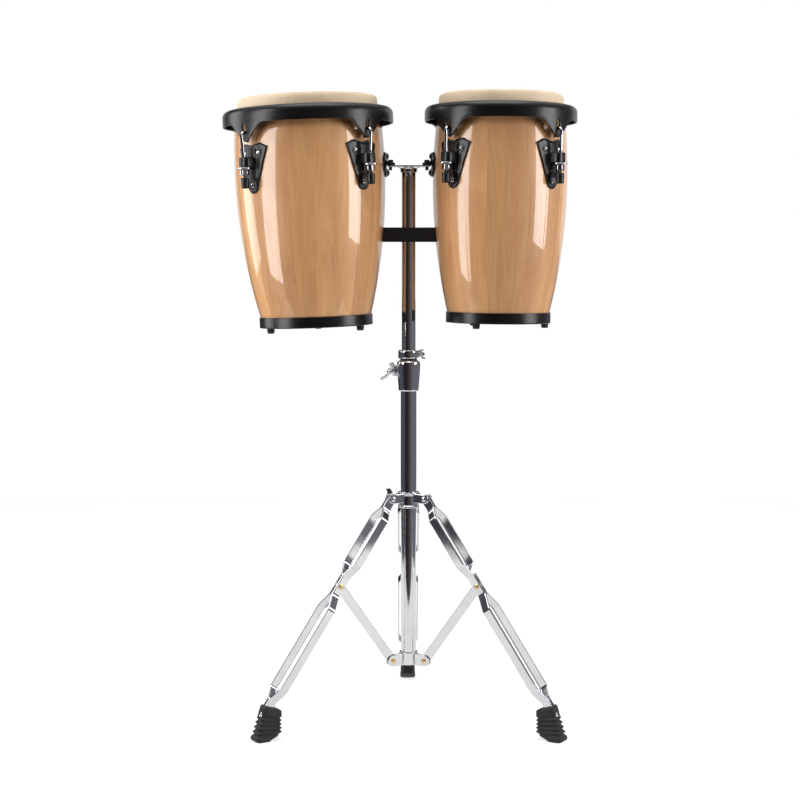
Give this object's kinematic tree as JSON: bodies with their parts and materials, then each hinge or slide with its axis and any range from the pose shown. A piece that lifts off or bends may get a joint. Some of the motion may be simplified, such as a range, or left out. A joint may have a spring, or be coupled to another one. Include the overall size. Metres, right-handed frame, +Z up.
{
  "type": "conga drum pair on stand",
  "caption": "Pair of stave-built conga drums with hook-and-lug tuning, bolted side by side to a chrome mast on a folding double-braced tripod.",
  "frame": {"origin": "middle of the object's box, on the floor", "axes": "+Z up; +Y from the front of the drums to the rear leg; +X from the larger drum to the smaller one"},
  "size_m": [0.5672, 0.4366, 1.0159],
  "materials": {
    "wood": "clear gloss lacquer over pale straight-grained staves",
    "rawhide": "natural cream hide, satin",
    "black_steel": "satin black powder coat",
    "chrome": "bright chrome plate",
    "brass": "yellow-passivated rivet heads",
    "rubber": "matt moulded rubber",
    "nylon": "moulded, slightly glossy"
  },
  "bodies": {
    "base": {"base_tube": "chrome", "bottom_hub": "chrome", "height_clamp": "chrome"},
    "clamp_bolt": {"clamp_wing_bolt": "chrome"},
    "swivel": {"clamp_bushing": "nylon"},
    "mast": {"upper_tube": "chrome", "memory_lock": "chrome", "crossbar_plate": "chrome", "spacer_bar": "rubber", "left_shell": "wood", "left_head": "rawhide", "left_bottom_ring": "black_steel", "left_bracket": "black_steel", "left_lug_1": "black_steel", "left_lug_2": "black_steel", "left_lug_3": "black_steel", "left_lug_4": "black_steel", "right_shell": "wood", "right_head": "rawhide", "right_bottom_ring": "black_steel", "right_bracket": "black_steel", "right_lug_1": "black_steel", "right_lug_2": "black_steel", "right_lug_3": "black_steel", "right_lug_4": "black_steel"},
    "lock_bolt": {"memory_lock_bolt": "chrome"},
    "collar": {"leg_collar": "chrome"},
    "collar_bolt": {"collar_wing_bolt": "chrome"},
    "left_tuning": {"left_rim": "black_steel", "left_hook_1": "chrome", "left_hook_2": "chrome", "left_hook_3": "chrome", "left_hook_4": "chrome"},
    "left_turning_nut_1": {"left_nut_1": "chrome"},
    "left_turning_nut_2": {"left_nut_2": "chrome"},
    "left_turning_nut_3": {"left_nut_3": "chrome"},
    "left_turning_nut_4": {"left_nut_4": "chrome"},
    "left_screw": {"left_bracket_screw": "black_steel"},
    "right_tuning": {"right_rim": "black_steel", "right_hook_1": "chrome", "right_hook_2": "chrome", "right_hook_3": "chrome", "right_hook_4": "chrome"},
    "right_turning_nut_1": {"right_nut_1": "chrome"},
    "right_turning_nut_2": {"right_nut_2": "chrome"},
    "right_turning_nut_3": {"right_nut_3": "chrome"},
    "right_turning_nut_4": {"right_nut_4": "chrome"},
    "right_screw": {"right_bracket_screw": "black_steel"},
    "right_leg": {"right_leg_strap_a": "chrome", "right_leg_strap_b": "chrome", "right_boot": "rubber"},
    "right_strut": {"right_brace": "chrome"},
    "rear_leg": {"rear_leg_strap_a": "chrome", "rear_leg_strap_b": "chrome", "rear_boot": "rubber"},
    "rear_strut": {"rear_brace": "chrome"},
    "left_leg": {"left_leg_strap_a": "chrome", "left_leg_strap_b": "chrome", "left_boot": "rubber"},
    "left_strut": {"left_brace": "chrome"}
  },
  "joints": [
    {"name": "mast_swivel", "type": "hinge", "parent": "base", "child": "swivel", "pos_m": [0.01418, -0.06473, 0.58], "axis": [0, 0, 1], "continuous": true},
    {"name": "mast_height", "type": "slide", "parent": "swivel", "child": "mast", "axis": [0, 0, 1], "range_m": [0, 0.15]},
    {"name": "leg_fold", "type": "slide", "parent": "base", "child": "collar", "axis": [0, 0, 1], "range_m": [0, 0.06139]},
    {"name": "right_leg_hinge", "type": "hinge", "parent": "collar", "child": "right_leg", "pos_m": [0.04233, -0.08098, 0.366], "axis": [0.5, 0.866, 0], "range_deg": [0, 31.6]},
    {"name": "right_brace_hinge", "type": "hinge", "parent": "base", "child": "right_strut", "pos_m": [0.04103, -0.08023, 0.099], "axis": [-0.5, -0.866, 0], "range_deg": [0, 31.89]},
    {"name": "rear_leg_hinge", "type": "hinge", "parent": "collar", "child": "rear_leg", "pos_m": [0.01418, -0.03223, 0.366], "axis": [-1, 0, 0], "range_deg": [0, 31.6]},
    {"name": "rear_brace_hinge", "type": "hinge", "parent": "base", "child": "rear_strut", "pos_m": [0.01418, -0.03373, 0.099], "axis": [1, 0, 0], "range_deg": [0, 31.89]},
    {"name": "left_leg_hinge", "type": "hinge", "parent": "collar", "child": "left_leg", "pos_m": [-0.01396, -0.08098, 0.366], "axis": [0.5, -0.866, 0], "range_deg": [0, 31.6]},
    {"name": "left_brace_hinge", "type": "hinge", "parent": "base", "child": "left_strut", "pos_m": [-0.01266, -0.08023, 0.099], "axis": [-0.5, 0.866, 0], "range_deg": [0, 31.89]},
    {"name": "clamp_bolt_turn", "type": "hinge", "parent": "base", "child": "clamp_bolt", "pos_m": [-0.01339, -0.05412, 0.572], "axis": [-0.7071, -0.7071, 0], "range_deg": [0, 720]},
    {"name": "lock_bolt_turn", "type": "hinge", "parent": "mast", "child": "lock_bolt", "pos_m": [0.03469, -0.05837, 0.6], "axis": [0.7071, -0.7071, 0], "range_deg": [0, 720]},
    {"name": "collar_bolt_turn", "type": "hinge", "parent": "collar", "child": "collar_bolt", "pos_m": [-0.0092, -0.05123, 0.363], "axis": [-0.866, 0.5, 0], "range_deg": [0, 720]},
    {"name": "left_rim_travel", "type": "slide", "parent": "mast", "child": "left_tuning", "axis": [-0.0366, 0, 0.9993], "range_m": [0, 0.0025]},
    {"name": "left_nut_1_turn", "type": "hinge", "parent": "mast", "child": "left_turning_nut_1", "pos_m": [-0.04783, 0.03413, 0.89436], "axis": [-0.0366, 0, 0.9993], "range_deg": [-900, 0]},
    {"name": "left_nut_2_turn", "type": "hinge", "parent": "mast", "child": "left_turning_nut_2", "pos_m": [-0.2427, 0.03141, 0.88721], "axis": [-0.0366, 0, 0.9993], "range_deg": [-900, 0]},
    {"name": "left_nut_3_turn", "type": "hinge", "parent": "mast", "child": "left_turning_nut_3", "pos_m": [-0.23998, -0.16359, 0.88731], "axis": [-0.0366, 0, 0.9993], "range_deg": [-900, 0]},
    {"name": "left_nut_4_turn", "type": "hinge", "parent": "mast", "child": "left_turning_nut_4", "pos_m": [-0.04511, -0.16087, 0.89446], "axis": [-0.0366, 0, 0.9993], "range_deg": [-900, 0]},
    {"name": "left_screw_turn", "type": "hinge", "parent": "mast", "child": "left_screw", "pos_m": [-0.01502, -0.06473, 0.91], "axis": [0, 0, 1], "range_deg": [0, 1080]},
    {"name": "right_rim_travel", "type": "slide", "parent": "mast", "child": "right_tuning", "axis": [0.0087, 0, 1], "range_m": [0, 0.0025]},
    {"name": "right_nut_1_turn", "type": "hinge", "parent": "mast", "child": "right_turning_nut_1", "pos_m": [0.25019, 0.02309, 0.89531], "axis": [0.0087, 0, 1], "range_deg": [-900, 0]},
    {"name": "right_nut_2_turn", "type": "hinge", "parent": "mast", "child": "right_turning_nut_2", "pos_m": [0.073, 0.02464, 0.89686], "axis": [0.0087, 0, 1], "range_deg": [-900, 0]},
    {"name": "right_nut_3_turn", "type": "hinge", "parent": "mast", "child": "right_turning_nut_3", "pos_m": [0.07145, -0.15255, 0.89687], "axis": [0.0087, 0, 1], "range_deg": [-900, 0]},
    {"name": "right_nut_4_turn", "type": "hinge", "parent": "mast", "child": "right_turning_nut_4", "pos_m": [0.24864, -0.1541, 0.89532], "axis": [0.0087, 0, 1], "range_deg": [-900, 0]},
    {"name": "right_screw_turn", "type": "hinge", "parent": "mast", "child": "right_screw", "pos_m": [0.04338, -0.06473, 0.91], "axis": [0, 0, 1], "range_deg": [0, 1080]}
  ],
  "couplings": [
    {"joint": "right_leg_hinge", "follows": "leg_fold", "rad_per_m": 8.9555},
    {"joint": "right_brace_hinge", "follows": "leg_fold", "rad_per_m": 9.0371},
    {"joint": "rear_leg_hinge", "follows": "leg_fold", "rad_per_m": 8.9555},
    {"joint": "rear_brace_hinge", "follows": "leg_fold", "rad_per_m": 9.0371},
    {"joint": "left_leg_hinge", "follows": "leg_fold", "rad_per_m": 8.9555},
    {"joint": "left_brace_hinge", "follows": "leg_fold", "rad_per_m": 9.0371},
    {"joint": "left_nut_1_turn", "follows": "left_rim_travel", "rad_per_m": -6283.2},
    {"joint": "left_nut_2_turn", "follows": "left_rim_travel", "rad_per_m": -6283.2},
    {"joint": "left_nut_3_turn", "follows": "left_rim_travel", "rad_per_m": -6283.2},
    {"joint": "left_nut_4_turn", "follows": "left_rim_travel", "rad_per_m": -6283.2},
    {"joint": "right_nut_1_turn", "follows": "right_rim_travel", "rad_per_m": -6283.2},
    {"joint": "right_nut_2_turn", "follows": "right_rim_travel", "rad_per_m": -6283.2},
    {"joint": "right_nut_3_turn", "follows": "right_rim_travel", "rad_per_m": -6283.2},
    {"joint": "right_nut_4_turn", "follows": "right_rim_travel", "rad_per_m": -6283.2}
  ]
}
